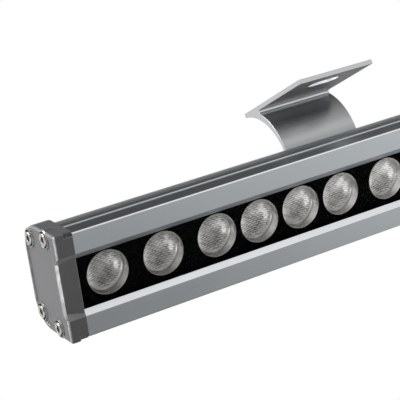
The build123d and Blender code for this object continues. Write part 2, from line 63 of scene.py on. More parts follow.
LAMP_POSE = (
    Matrix.Translation(Vector(ARC_CENTRE) * MM)
    @ Matrix.Rotation(REST_AIM, 4, "X")
    @ Matrix.Translation(Vector((0, -PIVOT_Y, -SLOT_Z)) * MM)
    @ Matrix.Scale(MM, 4)
)
LAMP_BACK = Vector((0.0, math.cos(REST_AIM), math.sin(REST_AIM)))
LAMP_UP = Vector((0.0, -math.sin(REST_AIM), math.cos(REST_AIM)))


# ------------------------------------------------------------------ sizes and colours to change
class WASHER_PG_sizes(bpy.types.PropertyGroup):
    """Sizes of the dressed pieces."""

    lens_diameter: bpy.props.FloatProperty(
        name="Lens rim", description="Outer diameter of a lens rim",
        default=0.022, unit="LENGTH", precision=4)
    bead_pitch: bpy.props.FloatProperty(
        name="Bead pitch", description="Spacing of the rows of beads on a lens face",
        default=0.00130, unit="LENGTH", precision=5)
    bead_height: bpy.props.FloatProperty(
        name="Bead height", description="Height of a bead on a lens face",
        default=0.00035, unit="LENGTH", precision=5)
    knurl_depth: bpy.props.FloatProperty(
        name="Knurl depth", description="Depth of the knurl round a screw head",
        default=0.00012, unit="LENGTH", precision=5)
    floor_drop: bpy.props.FloatProperty(
        name="Floor drop", description="Height of the fixing plate above the floor",
        default=0.30, unit="LENGTH")


class WASHER_PG_colours(bpy.types.PropertyGroup):
    """Colours of the finishes."""

    housing: bpy.props.FloatVectorProperty(
        name="Housing", description="Satin silver of the extrusion",
        default=(0.48, 0.508, 0.528), subtype="COLOR", min=0, max=1)
    bracket: bpy.props.FloatVectorProperty(
        name="Bracket", description="Satin aluminium of the bracket",
        default=(0.47, 0.475, 0.48), subtype="COLOR", min=0, max=1)
    cap: bpy.props.FloatVectorProperty(
        name="End caps", description="Grey textured coat of the end caps",
        default=(0.135, 0.137, 0.14), subtype="COLOR", min=0, max=1)
    lens: bpy.props.FloatVectorProperty(
        name="Lenses", description="Clear plastic of the lenses",
        default=(0.86, 0.85, 0.83), subtype="COLOR", min=0, max=1)
    backdrop: bpy.props.FloatVectorProperty(
        name="Backdrop", description="Floor and background",
        default=(1.0, 1.0, 1.0), subtype="COLOR", min=0, max=1)


def sizes():
    """The sizes set for this scene."""
    return bpy.context.scene.washer_sizes


def colours():
    """The colours set for this scene."""
    return bpy.context.scene.washer_colours


# ------------------------------------------------------------------ shader writing
class Wire:
    """A node's output; arithmetic on it adds Math nodes."""

    def __init__(self, finish, socket):
        self.finish, self.socket = finish, socket

    def math(self, operation, *others):
        """A Math node on this value and the others."""
        return self.finish.node("ShaderNodeMath", {"operation": operation}, dict(enumerate((self, *others))))

    def __add__(self, other):
        return self.math("ADD", other)

    __radd__ = __add__

    def __mul__(self, other):
        return self.math("MULTIPLY", other)

    __rmul__ = __mul__

    def __sub__(self, other):
        return self.math("SUBTRACT", other)

    def __rsub__(self, other):
        return self.finish.node("ShaderNodeMath", {"operation": "SUBTRACT"}, {0: other, 1: self})

    def __abs__(self):
        return self.math("ABSOLUTE")

    def larger(self, other):
        """The larger of this and the other."""
        return self.math("MAXIMUM", other)

    def between(self, low, high):
        """0 below low, 1 above high, smooth in between."""
        return self.finish.node("ShaderNodeMapRange", {"interpolation_type": "SMOOTHSTEP"}, {
            "Value": self, "From Min": low, "From Max": high})


class Finish:
    """The nodes of a material or a world under construction."""

    def __init__(self, name, kind="materials"):
        self.owner = getattr(bpy.data, kind).new(name)
        self.owner.use_nodes = True
        self.tree = self.owner.node_tree
        self.tree.nodes.clear()

    def node(self, kind, settings=None, values=None, output=0):
        """A node of this type, with its settings, then the values or links of its sockets."""
        made = self.tree.nodes.new(kind)
        for key, value in (settings or {}).items():
            setattr(made, key, value)
        for key, value in (values or {}).items():
            if isinstance(value, Wire):
                self.tree.links.new(value.socket, made.inputs[key])
            else:
                made.inputs[key].default_value = value
        return Wire(self, made.outputs[output])

    def blend(self, factor, first, second):
        """Mix of two colours."""
        return self.node("ShaderNodeMix", {"data_type": "RGBA"}, {0: factor, 6: first, 7: second}, 2)

    def scaled(self, colour, level):
        """A colour times a number."""
        return self.node("ShaderNodeVectorMath", {"operation": "SCALE"}, {0: colour[:3], "Scale": level})

    def place(self):
        """The point's place in the part's frame at rest, in metres."""
        return self.node("ShaderNodeTexCoord", output="Object")

    def facing(self):
        """The way the surface faces at rest."""
        return self.node("ShaderNodeTexCoord", output="Normal")

    def axis(self, vector, name):
        """A vector's X, Y or Z."""
        return self.node("ShaderNodeSeparateXYZ", values={0: vector}, output=name)

    def along(self, vector, direction):
        """How far a vector goes along a direction."""
        settings = {"operation": "DOT_PRODUCT"}
        return self.node("ShaderNodeVectorMath", settings, {0: vector, 1: direction}, "Value")

    def lamp_place(self, direction):
        """How far the point lies from the origin of the lamp's own frame along a direction, in metres."""
        return self.along(self.place(), direction) - LAMP_POSE.translation.dot(direction)

    def rays(self):
        """1 for the rays that show the stage itself, and 1 for those that metal mirrors."""
        path = "ShaderNodeLightPath"
        seen = self.node(path, output="Is Camera Ray") + self.node(path, output="Is Transmission Ray")
        return seen, self.node(path, output="Is Glossy Ray")

    def noise(self, scale, stretch=(1, 1, 1), detail=3.0):
        """Noise in object space; scale is cells to the metre."""
        place = self.node("ShaderNodeMapping", values={"Vector": self.place(), "Scale": stretch})
        return self.node("ShaderNodeTexNoise", values={
            "Vector": place, "Scale": scale, "Detail": detail, "Roughness": 0.55})

    def cells(self, scale, feature="F1"):
        """Distance to the nearest of scattered points; scale is cells to the metre."""
        values = {"Vector": self.place(), "Scale": scale}
        return self.node("ShaderNodeTexVoronoi", {"feature": feature}, values)

    def rounded(self, radius):
        """Normals as if every edge had this radius."""
        return self.node("ShaderNodeBevel", {"samples": 4}, {"Radius": radius})

    def edges(self, radius):
        """1 along edges, 0 on open faces."""
        true = self.node("ShaderNodeNewGeometry", output="True Normal")
        return (1.0 - self.along(self.rounded(radius), true)).between(0.02, 0.25)

    def bump(self, height, distance, strength, normal=None):
        """Normals of a surface raised by height, over another's normals where they are given."""
        values = {"Height": height, "Distance": distance, "Strength": strength}
        if normal:
            values["Normal"] = normal
        return self.node("ShaderNodeBump", values=values)

    def principled(self, **values):
        """The main surface node; an underscore in a name stands for a space."""
        named = {key.replace("_", " "): value for key, value in values.items()}
        return self.node("ShaderNodeBsdfPrincipled", values=named)

    def close(self, surface):
        """Links the surface to the output and returns the material or the world."""
        kind = "World" if isinstance(self.owner, bpy.types.World) else "Material"
        output = self.tree.nodes.new("ShaderNodeOutput" + kind)
        self.tree.links.new(surface.socket, output.inputs["Surface"])
        return self.owner


def rgba(colour, level=1.0):
    """A colour at a level, clipped at white, with its alpha."""
    return (*[min(c * level, 1.0) for c in colour], 1.0)


# ------------------------------------------------------------------ finishes
BARE_METAL_AND_HIGHLIGHT = (0.95, 0.975, 1.0)
HIGHLIGHT_COAT = (0.62, 0.62, 0.62)
LENS_SHADE = (0.03, 0.032, 0.032)

# bare places and painted highlights of the bracket, in metres from the middle of its fixing slot
PLATE_FRONT_Y = -0.0140
SLOT_HALF_X, SLOT_HALF_Y = 0.0090, 0.0045
CORNER_Y, CORNER_Z = 0.0336, -0.0031

# places of painted highlights and painted light on the lamp, in metres from the origin of its own frame
BEVEL_FACING = (0, -0.98, 0.19)
BEVEL_DEPTHS = (-1.37 * MM, 1.63 * MM)
CAP_FRONT_DEPTHS = (-1.6 * MM, -1.3 * MM)
WINDOW_HALVES = (15.8 * MM, 16.2 * MM)


def satin_metal(name, colour, roughness, streak, edge_radius, bare_and_highlight=None):
    """Anodised extrusion: fine grain, faint die lines along its length, painted highlights along its edges.

    bare_and_highlight gives the level of bare metal and painted highlight, a function of the finish: 0 where
    it is anodised.
    """
    f = Finish(name)
    grain = f.noise(2600, detail=4)
    lines = f.noise(900, (0.006, 1, 1), detail=3)
    cloud = f.noise(22, detail=2)
    level = 0.5 + (lines - 0.5) * streak * 4 + (cloud - 0.5) * 0.5 + (grain - 0.5) * 0.35
    tint = f.blend(level, rgba(colour, 0.9), rgba(colour, 1.1))
    # painted highlight: edges lighter than the faces
    tint = f.blend(f.edges(edge_radius) * 0.35, tint, rgba(colour, 1.5))
    rough = roughness + (grain - 0.5) * 0.10 + (lines - 0.5) * 0.16 + (cloud - 0.5) * 0.06
    if bare_and_highlight:
        bare_and_highlight_level = bare_and_highlight(f)
        # bare metal and painted highlights, in the colour of bare metal
        tint = f.blend(bare_and_highlight_level, tint, rgba(BARE_METAL_AND_HIGHLIGHT))
        rough = rough + bare_and_highlight_level.between(0.0, 0.3) * 0.06
    normal = f.bump(grain + lines * 0.6, 0.00002, 0.35, f.rounded(edge_radius))
    return f.close(f.principled(Base_Color=tint, Metallic=1.0, Roughness=rough, Normal=normal))


def bracket_bare_and_highlights(f):
    """Bare metal, partly painted highlight, on the sawn ends, the plate's front edge and the walls of the
    fixing slot; a painted highlight along the inside corner.
    """
    facing, place = f.facing(), f.place()
    x, y, z = [f.axis(place, name) for name in "XYZ"]
    ends = abs(f.axis(facing, "X")).between(0.9, 0.97)
    front = 1.0 - y.between(PLATE_FRONT_Y + 0.00001, PLATE_FRONT_Y + 0.0001)
    slot = 1.0 - abs(f.axis(facing, "Z")).between(0.1, 0.3)
    for distance, half in ((x, SLOT_HALF_X), (y, SLOT_HALF_Y)):
        slot = slot * (1.0 - abs(distance).between(half + 0.0005, half + 0.001))
    back, up = y - CORNER_Y, z - CORNER_Z
    # painted highlight along the inside corner of the plate and the arm
    corner = 1.0 - (back * back + up * up).math("SQRT").between(0.0004, 0.0008)
    return (ends * 0.12).larger(front * 0.45).larger(slot).larger(corner * (1.0 - ends))


def housing_painted_highlights(f):
    """Painted highlights on the bevels of the window and the front edges."""
    bevel = f.along(f.facing(), BEVEL_FACING).between(0.975, 0.99)
    return bevel * (1.0 - f.lamp_place(LAMP_BACK).between(*BEVEL_DEPTHS))


def textured_coat(name, colour):
    """Powder coat: fine orange peel, small pale specks, patchy painted highlights on its edges and fillets,
    and painted light on the slope at the window.
    """
    f = Finish(name)
    peel = f.cells(1500, "SMOOTH_F1")
    grain = f.noise(3200, detail=3)
    cloud = f.noise(35, detail=3)
    level = 0.5 + (cloud - 0.5) * 0.6 + (grain - 0.5) * 0.7
    tint = f.blend(level, rgba(colour, 0.82), rgba(colour, 1.2))
    facing = f.facing()
    endways = abs(f.axis(facing, "X"))
    # painted highlight over the fillets round the end face
    fillet_highlight = endways.between(0.12, 0.4) * (1.0 - endways.between(0.85, 0.98))
    near = 1.0 - f.lamp_place(LAMP_BACK).between(*CAP_FRONT_DEPTHS)
    window = near * (1.0 - abs(f.lamp_place(LAMP_UP)).between(*WINDOW_HALVES))
    # painted light on the slopes of the window's recess
    slope_light = window * abs(f.along(facing, LAMP_UP)).between(0.2, 0.4) * 0.3
    # painted highlight along the edges, stronger near the front
    edge = f.edges(0.0005) * (1.0 + near * 1.5)
    # painted highlights, patchy like wear; they also make the coat more metallic and glossy
    painted_highlight = edge.larger(fillet_highlight) * (0.5 + f.noise(240, detail=4).between(0.35, 0.7) * 0.5)
    painted_highlight = painted_highlight.larger(slope_light).math("MINIMUM", 1.0)
    tint = f.blend(painted_highlight * 0.8, tint, rgba(HIGHLIGHT_COAT))
    rough = 0.4 + (grain - 0.5) * 0.18 - painted_highlight * 0.12
    normal = f.bump(peel + grain * 0.4, 0.00004, 0.4, f.rounded(0.0005))
    return f.close(f.principled(Base_Color=tint, Roughness=rough, Metallic=0.25 + painted_highlight * 0.5, Normal=normal))


def bright_metal(name, colour, roughness, tarnish):
    """Turned or plated metal with fine tool marks and slight tarnish."""
    f = Finish(name)
    marks = f.noise(5200, detail=4)
    stain = f.noise(420, detail=4).between(0.45, 0.75)
    tint = f.blend(stain * tarnish, rgba(colour), rgba(colour, 0.55))
    rough = roughness + stain * 0.14 + (marks - 0.5) * 0.12
    normal = f.bump(marks, 0.00001, 0.4, f.rounded(0.00012))
    return f.close(f.principled(Base_Color=tint, Metallic=1.0, Roughness=rough, Normal=normal))


def moulding(name, colour, roughness=0.5, grain_size=2400, depth=0.00003, coat=0.0, shine=0.5):
    """Moulded plastic or epoxy with a fine spark grain."""
    f = Finish(name)
    grain = f.noise(grain_size, detail=4)
    cloud = f.noise(60, detail=2)
    level = 0.5 + (cloud - 0.5) * 0.8 + (grain - 0.5) * 0.3
    tint = f.blend(level, rgba(colour, 0.86), rgba(colour, 1.14))
    rough = roughness + (grain - 0.5) * 0.15
    normal = f.bump(grain, depth, 0.5)
    return f.close(f.principled(
        Base_Color=tint, Roughness=rough, Normal=normal, Coat_Weight=coat, Specular_IOR_Level=shine))


def rubber(name, colour=(0.022, 0.022, 0.022)):
    """Black rubber with dust in its pores."""
    f = Finish(name)
    dust = f.noise(300, detail=5).between(0.5, 0.8)
    tint = f.blend(dust * 0.25, rgba(colour), rgba((0.11, 0.108, 0.10)))
    normal = f.bump(f.cells(3800), 0.00003, 0.4)
    return f.close(f.principled(Base_Color=tint, Roughness=0.72 + dust * 0.15, Normal=normal))


def lens_plastic(name, colour):
    """Moulded clear collimator: bright beads, painted shade in patches between them, and painted light and
    glow over it.

    The mesh says where the crests of the beads are, and how much painted light and glow its face shows.
    """
    f = Finish(name)
    frost = f.noise(3400, detail=4)
    cloud = f.noise(260, detail=3)
    patch = f.noise(330, detail=3).between(0.42, 0.6)
    crest = f.node("ShaderNodeAttribute", {"attribute_name": "bead"}, output="Fac")
    # painted light and glow of the face, from the mesh's glow attribute
    inner = f.node("ShaderNodeAttribute", {"attribute_name": "glow"}, output="Fac")
    # painted shade in the valleys between the beads, deeper in patches
    valley = (1.0 - crest.between(0.1, 0.85)) * (0.45 + patch * 0.55)
    # painted highlight where the painted light is strongest
    flare = inner.between(1.0, 1.9) * (1.0 - valley * 0.6)
    tint = f.blend(0.5 + (cloud - 0.5) * 1.2, rgba(colour, 0.7), rgba(colour))
    # painted light and shade in the base colour
    tint = f.blend(inner, rgba(colour, 0.2), tint)
    tint = f.blend(valley * 0.95, tint, rgba(LENS_SHADE))
    # painted glow: the lens gives off light though it is no lamp
    painted_glow_colour = f.blend(inner * inner * 0.22, rgba((0, 0, 0)), tint)
    painted_glow_colour = f.blend(flare, painted_glow_colour, rgba(colour, 0.85))
    normal = f.bump(frost, 0.00002, 0.3)
    return f.close(f.principled(
        Base_Color=tint, Roughness=0.14 + frost * 0.16, Metallic=0.7, Normal=normal, IOR=1.49,
        Emission_Color=painted_glow_colour, Emission_Strength=0.6))


def pane(name):
    """Clear coated glass with a trace of dust."""
    f = Finish(name)
    dust = f.noise(900, detail=5).between(0.55, 0.8)
    smear = f.noise(30, detail=3)
    tint = f.blend(dust, rgba((0.01, 0.011, 0.011)), rgba((0.16, 0.16, 0.155)))
    return f.close(f.principled(
        Base_Color=tint, Roughness=0.03 + smear * 0.04, Alpha=0.02 + dust * 0.008, IOR=1.45))


def board_coat(name):
    """White solder resist with the tracks faintly raised under it."""
    f = Finish(name)
    tracks = f.node("ShaderNodeTexBrick", {"offset": 0.5}, {
        "Vector": f.place(), "Scale": 70.0, "Mortar Size": 0.02, "Brick Width": 1.0, "Row Height": 0.35,
    }, "Fac")
    grain = f.noise(1800, detail=3)
    level = tracks * 0.5 + (grain - 0.5) * 0.2
    tint = f.blend(level, rgba((0.80, 0.81, 0.78)), rgba((0.66, 0.68, 0.64)))
    return f.close(f.principled(
        Base_Color=tint, Roughness=0.32 + grain * 0.1, Normal=f.bump(tracks, 0.00003, 0.5), Coat_Weight=0.3))


FINISHES = {}


def finish(name):
    """The named finish, made once."""
    if name not in FINISHES:
        c = colours()
        makers = {
            "housing_satin": lambda n: satin_metal(n, c.housing, 0.33, 0.06, 0.00015, housing_painted_highlights),
            "bracket_satin": lambda n: satin_metal(n, c.bracket, 0.31, 0.04, 0.0004, bracket_bare_and_highlights),
            "saddle_satin": lambda n: satin_metal(n, (0.68, 0.69, 0.70), 0.3, 0.03, 0.0003),
            "cap_coat": lambda n: textured_coat(n, c.cap),
            "stainless": lambda n: bright_metal(n, (0.44, 0.42, 0.39), 0.2, 0.6),
            "zinc_plate": lambda n: bright_metal(n, (0.72, 0.72, 0.70), 0.26, 0.4),
            "nickel_plate": lambda n: bright_metal(n, (0.66, 0.63, 0.56), 0.22, 0.25),
            "lens_clear": lambda n: lens_plastic(n, c.lens),
            "window_glass": pane,
            "mask_black": lambda n: moulding(n, (0.002, 0.002, 0.0025), 0.7, 1800, shine=0.02),
            "holder_black": lambda n: moulding(n, (0.012, 0.012, 0.012)),
            "seal_silicone": lambda n: rubber(n, (0.05, 0.05, 0.05)),
            "gasket_rubber": rubber,
            "board_white": board_coat,
            "pad_grey": lambda n: moulding(n, (0.42, 0.43, 0.45), 0.8, 900, 0.00006),
            "chip_epoxy": lambda n: moulding(n, (0.02, 0.02, 0.02), 0.4, 4200),
            "terminal_nylon": lambda n: moulding(n, (0.72, 0.72, 0.69), 0.45),
            "emitter_phosphor": lambda n: moulding(n, (0.8, 0.62, 0.18), 0.25, 5200, 0.00002, 0.5),
        }
        FINISHES[name] = makers[name](name)
    return FINISHES[name]


def dress(node, finish_name):
    """Gives a CAD node its finish."""
    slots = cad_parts[node].data.materials
    slots.clear()
    slots.append(finish(finish_name))


# ------------------------------------------------------------------ mesh writing
def polar(radii):
    """Points at even angles round the origin, at these distances from it."""
    turns = [math.tau * i / len(radii) for i in range(len(radii))]
    return [(r * math.cos(turn), r * math.sin(turn)) for r, turn in zip(radii, turns)]


def circle(radius, count):
    """Points of a circle."""
    return polar([radius] * count)


def hexagon_radii(flats, count):
    """Distances of a hexagon's points at even angles, flats measured across."""
    side = math.pi / 3
    turns = [math.tau * i / count - side / 2 for i in range(count)]
    return [flats / 2 / math.cos(turn - round(turn / side) * side) for turn in turns]


def skin(rings, close_start=True, close_end=True):
    """Vertices and faces of a skin over rings of equal counts."""
    count = len(rings[0])
    verts = [p for ring in rings for p in ring]
    faces = []
    for k in range(len(rings) - 1):
        for i in range(count):
            j = (i + 1) % count
            faces.append((k * count + i, k * count + j, (k + 1) * count + j, (k + 1) * count + i))
    if close_start:
        faces.append(tuple(reversed(range(count))))
    if close_end:
        last = (len(rings) - 1) * count
        faces.append(tuple(range(last, last + count)))
    return verts, faces


def merged(parts):
    """One vertex and face list from several."""
    verts, faces = [], []
    for part_verts, part_faces in parts:
        base = len(verts)
        verts += part_verts
        faces += [tuple(base + i for i in face) for face in part_faces]
    return verts, faces


def outward(mesh):
    """Turns all faces outwards."""
    work = bmesh.new()
    work.from_mesh(mesh)
    bmesh.ops.recalc_face_normals(work, faces=work.faces)
    work.to_mesh(mesh)
    work.free()


def piece(name, parts, body, slot, finish_name, replaces, smooth_angle=35.0, marks=None):
    """A new object from parts in the lamp's own frame, riding on its body.

    marks maps the name of an attribute to its value at each vertex.
    """
    verts, faces = merged(parts)
    mesh = bpy.data.meshes.new(name)
    mesh.from_pydata([LAMP_POSE @ Vector(v) for v in verts], [], faces)
    mesh.validate()
    outward(mesh)
    mesh.shade_smooth()
    mesh.set_sharp_from_angle(angle=math.radians(smooth_angle))
    mesh.materials.append(finish(finish_name))
    for key, values in (marks or {}).items():
        mesh.attributes.new(key, "FLOAT", "POINT").data.foreach_set("value", values)
    made = bpy.data.objects.new(name, mesh)
    bpy.context.scene.collection.objects.link(made)
    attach(made, body)
    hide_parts(*replaces)


def along_y(points, y, x=0.0, z=0.0):
    """Points of a ring that faces the lamp's front."""
    return [(x + a, y, z + b) for a, b in points]


def along_x(points, x, y, z):
    """Points of a ring that faces the lamp's end."""
    return [(x, y + a, z + b) for a, b in points]


# ------------------------------------------------------------------ lenses
# one lens, in millimetres: its rim, the bowl behind the rim, and the end of the cone behind the bowl
RIM_Y = 0.45
RIM_POINTS = 72
FACE_RADIUS, FACE_DEPTH = 10.3, 6.3
CONE_END_Y = 10.7

# painted light and shade spots of a lens face: how much each adds, its middle and its widths in face radii
FACE_LIGHT = 0.65
FACE_SPOTS = (
    (0.60, -0.75, 0.00, 0.22, 0.45),
    (1.50, 0.72, -0.02, 0.13, 0.22),
    (0.60, 0.45, 0.30, 0.40, 0.20),
    (0.50, 0.55, 0.55, 0.12, 0.12),
    (-0.25, 0.25, -0.30, 0.35, 0.30),
    (-0.35, -0.10, -0.65, 0.45, 0.25),
)
# painted light and shade of the wall round it: how much each adds, its direction and its width in degrees
WALL_LIGHT = 0.55
WALL_SPOTS = ((0.60, -40, 28), (-0.25, 12, 22))


def beaded_face(pitch, height):
    """Points, lifts, crests and triangles of a disc moulded in rows of long beads; its rim comes first."""
    stretch = 2.2  # of the pattern along x
    x_weight = 0.55  # of x in the distance from a bead's centre: below 1, the bead is long
    bend, level_x = 0.03, 2.0  # of the rows, and the x where they run level
    fade_width = 1.2  # of the band at the rim where the beads run out
    points = [Vector(p) for p in circle(FACE_RADIUS, RIM_POINTS)]
    lifts, crests = [0.0] * RIM_POINTS, [1.0] * RIM_POINTS
    step = pitch / 4
    row_height = pitch * math.sqrt(3) / 2
    reach = int(FACE_RADIUS / step) + 2
    for row in range(-reach, reach + 1):
        for column in range(-reach, reach + 1):
            x = step * (column + row / 2)
            y = step * row * math.sqrt(3) / 2
            place = Vector((x * stretch, y - bend * (x * stretch - level_x) ** 2 / 2))
            room = FACE_RADIUS - place.length
            if room < 0.7 * step:
                continue
            # lattice of bead centres: every fourth point each way
            best = min(
                math.hypot((x - pitch * (i + j / 2)) * x_weight, y - row_height * j)
                for j in (round(y / row_height) + d for d in (-1, 0, 1))
                for i in (round(x / pitch - j / 2) + e for e in (-1, 0, 1))
            )
            fade = min(1.0, room / fade_width)
            crest = max(0.0, 1 - (best / (row_height / 2)) ** 2)
            points.append(place)
            lifts.append(height * fade * crest)
            crests.append(1 - (1 - crest) * fade)
    triangles = geometry.delaunay_2d_cdt(points, [], [], 0, 1e-5)[2]
    return points, lifts, crests, triangles


def painted_face_light(x, z):
    """Painted light and shade of the face, 0 or more, at x, z in face radii."""
    border = max(0.0, (math.hypot(x, z) - 0.84) / 0.16)
    light = FACE_LIGHT - 0.15 * border
    for strength, x_mid, z_mid, x_width, z_width in FACE_SPOTS:
        light += strength * math.exp(-((x - x_mid) / x_width) ** 2 - ((z - z_mid) / z_width) ** 2)
    return max(0.0, light)


def wall_light(x, z):
    """The same for the smooth wall and the rim round the face, at the direction x, z."""
    turn = math.degrees(math.atan2(z, x))
    return WALL_LIGHT + sum(strength * math.exp(-((turn - middle) / width) ** 2)
                            for strength, middle, width in WALL_SPOTS)


def lens_parts(face, x, radius):
    """One lens: beaded bowl, smooth wall, rounded rim, cone and emitter pocket."""
    points, lifts, _, triangles = face
    verts = []
    for p, lift in zip(points, lifts):
        reach = p.length / FACE_RADIUS
        verts.append((x + p.x, RIM_Y + FACE_DEPTH - 0.4 * reach ** 2 - 1.4 * reach ** 10 - lift, p.y))
    faces = [tuple(t) for t in triangles]
    # radius and depth behind the rim
    wall = [(10.42, 4.0), (10.52, 2.8), (10.6, 1.5), (10.68, 0.35), (10.75, 0.03),
            (radius - 0.15, 0.0), (radius - 0.04, 0.06), (radius, 0.25), (radius, 6.0)]
    # radius and depth in front of the cone's end
    cone = [(10.2, 3.3), (7.7, 1.65), (5.2, 0.0), (3.0, 0.0), (2.6, 2.4), (1.4, 2.65)]
    profile = [(r, RIM_Y + depth) for r, depth in wall] + [(r, CONE_END_Y - depth) for r, depth in cone]
    previous = list(range(RIM_POINTS))
    for r, y in profile:
        start = len(verts)
        verts += along_y(circle(r, RIM_POINTS), y, x)
        ring = list(range(start, start + RIM_POINTS))
        for i in range(RIM_POINTS):
            j = (i + 1) % RIM_POINTS
            faces.append((previous[i], previous[j], ring[j], ring[i]))
        previous = ring
    tip = len(verts)
    verts.append((x, CONE_END_Y - 2.7, 0.0))
    faces += [(previous[i], previous[(i + 1) % RIM_POINTS], tip) for i in range(RIM_POINTS)]
    return verts, faces


class WASHER_OT_lenses(bpy.types.Operator):
    """Make the twelve moulded lenses with their beaded faces"""

    bl_idname = "washer.lenses"
    bl_label = "Lenses"

    def execute(self, context):
        s = sizes()
        face = beaded_face(s.bead_pitch / MM, s.bead_height / MM)
        points, _, crests, _ = face
        for number, x in enumerate(LENS_X, start=1):
            parts = lens_parts(face, x, s.lens_diameter / MM / 2)
            beyond = parts[0][len(points):]
            glow = [painted_face_light(p.x / FACE_RADIUS, p.y / FACE_RADIUS) for p in points]
            glow += [wall_light(place[0] - x, place[2]) for place in beyond]
            # painted light: the lenses grow lighter from the left cap to the seventh
            level = 0.9 + 0.06 * min(number, 7)
            marks = {"bead": crests + [1.0] * len(beyond), "glow": [light * level for light in glow]}
            piece(f"lens_beaded_{number:02d}", [parts], "lamp_body", "lens_clear", "lens_clear",
                  smooth_angle=50.0, replaces=[f"lens_{number:02d}"], marks=marks)
        return {"FINISHED"}


# ------------------------------------------------------------------ cap screws
# M4 socket head screw, in millimetres
SCREW_PROUD = 0.5
SCREW_LENGTH = 24.0
SCREW_POINTS = 60
HEAD_RADIUS, HEAD_HEIGHT = 3.5, 4.0
SHANK_RADIUS = 1.98
SOCKET_FLATS, SOCKET_DEPTH = 3.0, 2.0


def socket_screw(side, y, z, knurl):
    """Knurled head with a hexagon socket, on the cap at this side of the lamp, -1 or 1."""
    def ring(radii, depth):
        return along_x(polar(radii), side * (HALF_LENGTH + SCREW_PROUD - depth), y, z)

    def turned(radius, depth):
        return ring([radius] * SCREW_POINTS, depth)

    def knurled(depth):
        return ring([HEAD_RADIUS, HEAD_RADIUS - knurl] * (SCREW_POINTS // 2), depth)

    socket = hexagon_radii(SOCKET_FLATS, SCREW_POINTS)
    socket_end = hexagon_radii(1.2, SCREW_POINTS)
    return skin([
        ring(socket_end, SOCKET_DEPTH + 0.45), ring(socket, SOCKET_DEPTH), ring(socket, 0.22),
        turned(1.95, 0.0), turned(HEAD_RADIUS - 0.62, 0.0),
        turned(HEAD_RADIUS - 0.32, 0.07), turned(HEAD_RADIUS - 0.1, 0.28),
        knurled(0.45), knurled(HEAD_HEIGHT - 0.15),
        turned(HEAD_RADIUS - 0.2, HEAD_HEIGHT), turned(SHANK_RADIUS, HEAD_HEIGHT),
        turned(SHANK_RADIUS, SCREW_LENGTH - 0.5), turned(1.5, SCREW_LENGTH),
    ])


class WASHER_OT_cap_screws(bpy.types.Operator):
    """Make the knurled socket screws of both end caps"""

    bl_idname = "washer.cap_screws"
    bl_label = "Cap screws"

    def execute(self, context):
        knurl = sizes().knurl_depth / MM
        for side, name in ((-1, "left"), (1, "right")):
            parts = [socket_screw(side, y, z, knurl) for y, z in CAP_SCREWS]
            piece(f"cap_screw_set_{name}", parts, "lamp_body", "stainless_steel", "stainless",
                  smooth_angle=28.0, replaces=[f"cap_screws_{name}"])
        return {"FINISHED"}


# ------------------------------------------------------------------ clamp
# M6 bolt with its washers and nut, in millimetres
BOLT_SEAT_Y = 28.0
BOLT_RADIUS, BOLT_LENGTH, BOLT_HEAD = 3.0, 15.9, 4.0
THREAD_PITCH, THREAD_DEPTH = 1.0, 0.42
HEX_FLATS, HEX_POINTS = 10.0, 48
NUT_BORE, NUT_HEIGHT = 3.02, 5.0
WASHER_RADIUS, WASHER_BORE, WASHER_THICKNESS = 6.0, 3.2, 1.6
SPRING_RADII = (3.3, 5.5)
GAP = 0.1  # between pieces that would touch
ARM_INSIDE = 28.2  # radius of the arm's inner face, which the flat washer's rim bears on
WASHER_Y = PIVOT_Y - math.sqrt(ARM_INSIDE ** 2 - WASHER_RADIUS ** 2) + 0.08


def bolt_ring(radii, y):
    """Points round the bolt's axis, at these distances from it."""
    return along_y(polar(radii), y, z=SLOT_Z)


def threaded(y_low, y_high):
    """Skin of the threaded shank, with a pointed run-out at its high end."""
    count, steps = 32, 6  # points round the shank, and rings to one turn of the thread
    run_out, steepness = 0.6, 0.9
    rings = []
    rows = int((y_high - y_low) / THREAD_PITCH * steps)
    for k in range(rows + 1):
        y = y_low + (y_high - y_low) * k / rows
        run_in = min(1.0, k / steps)
        taper = max(0.0, run_out - (y_high - y)) * steepness
        radii = []
        for i in range(count):
            phase = ((y - y_low) / THREAD_PITCH - i / count) % 1.0
            cut = THREAD_DEPTH * run_in * abs(1 - 2 * phase)
            radii.append(BOLT_RADIUS - max(cut, taper))
        rings.append(bolt_ring(radii, y))
    return skin(rings)


def chamfered_hex(y_low, y_high, bore=None):
    """Skin of a hexagon with its corners turned off at both ends, and its bore where it has one."""
    flat = HEX_FLATS / 2
    radii = hexagon_radii(HEX_FLATS, HEX_POINTS)
    drop = (flat / math.cos(math.pi / 6) - flat) * 0.6
    countersink = 0.4
    # radii and depth of the rings of one end, from its middle outwards
    end = [([flat - 0.15] * HEX_POINTS, 0.0), ([min(r, flat + 0.12) for r in radii], 0.06), (radii, drop)]
    if bore:
        end = [([bore] * HEX_POINTS, countersink), ([bore + countersink] * HEX_POINTS, 0.0)] + end
    rings = [bolt_ring(ring, y_low + depth) for ring, depth in end]
    rings += [bolt_ring(ring, y_high - depth) for ring, depth in reversed(end)]
    if bore:
        return skin(rings + rings[:1], False, False)
    return skin(rings)


def flat_washer(y):
    """Skin of the flat washer, its edges broken."""
    count, edge = 72, 0.18
    low, high = y, y + WASHER_THICKNESS
    inner, outer = WASHER_BORE, WASHER_RADIUS
    profile = [
        (inner, low + edge), (inner + edge, low), (outer - edge, low), (outer, low + edge),
        (outer, high - edge), (outer - edge, high), (inner + edge, high), (inner, high - edge),
    ]
    return skin([bolt_ring([r] * count, v) for r, v in profile + profile[:1]], False, False)


def spring_washer(y):
    """Skin of the split washer: a square bar round most of a turn, its ends a little apart."""
    low, high = y + GAP, y + WASHER_THICKNESS - GAP
    inner, outer = SPRING_RADII
    start, sweep, rise = 8, 344, 0.12  # two angles in degrees, and how far apart its ends lie
    rings, steps = [], 60
    for k in range(steps + 1):
        turn = math.radians(start + sweep * k / steps)
        lift = rise * (k / steps - 0.5)
        rings.append([(r * math.cos(turn), v + lift, SLOT_Z + r * math.sin(turn))
                      for r, v in ((inner, low), (outer, low), (outer, high), (inner, high))])
    return skin(rings)


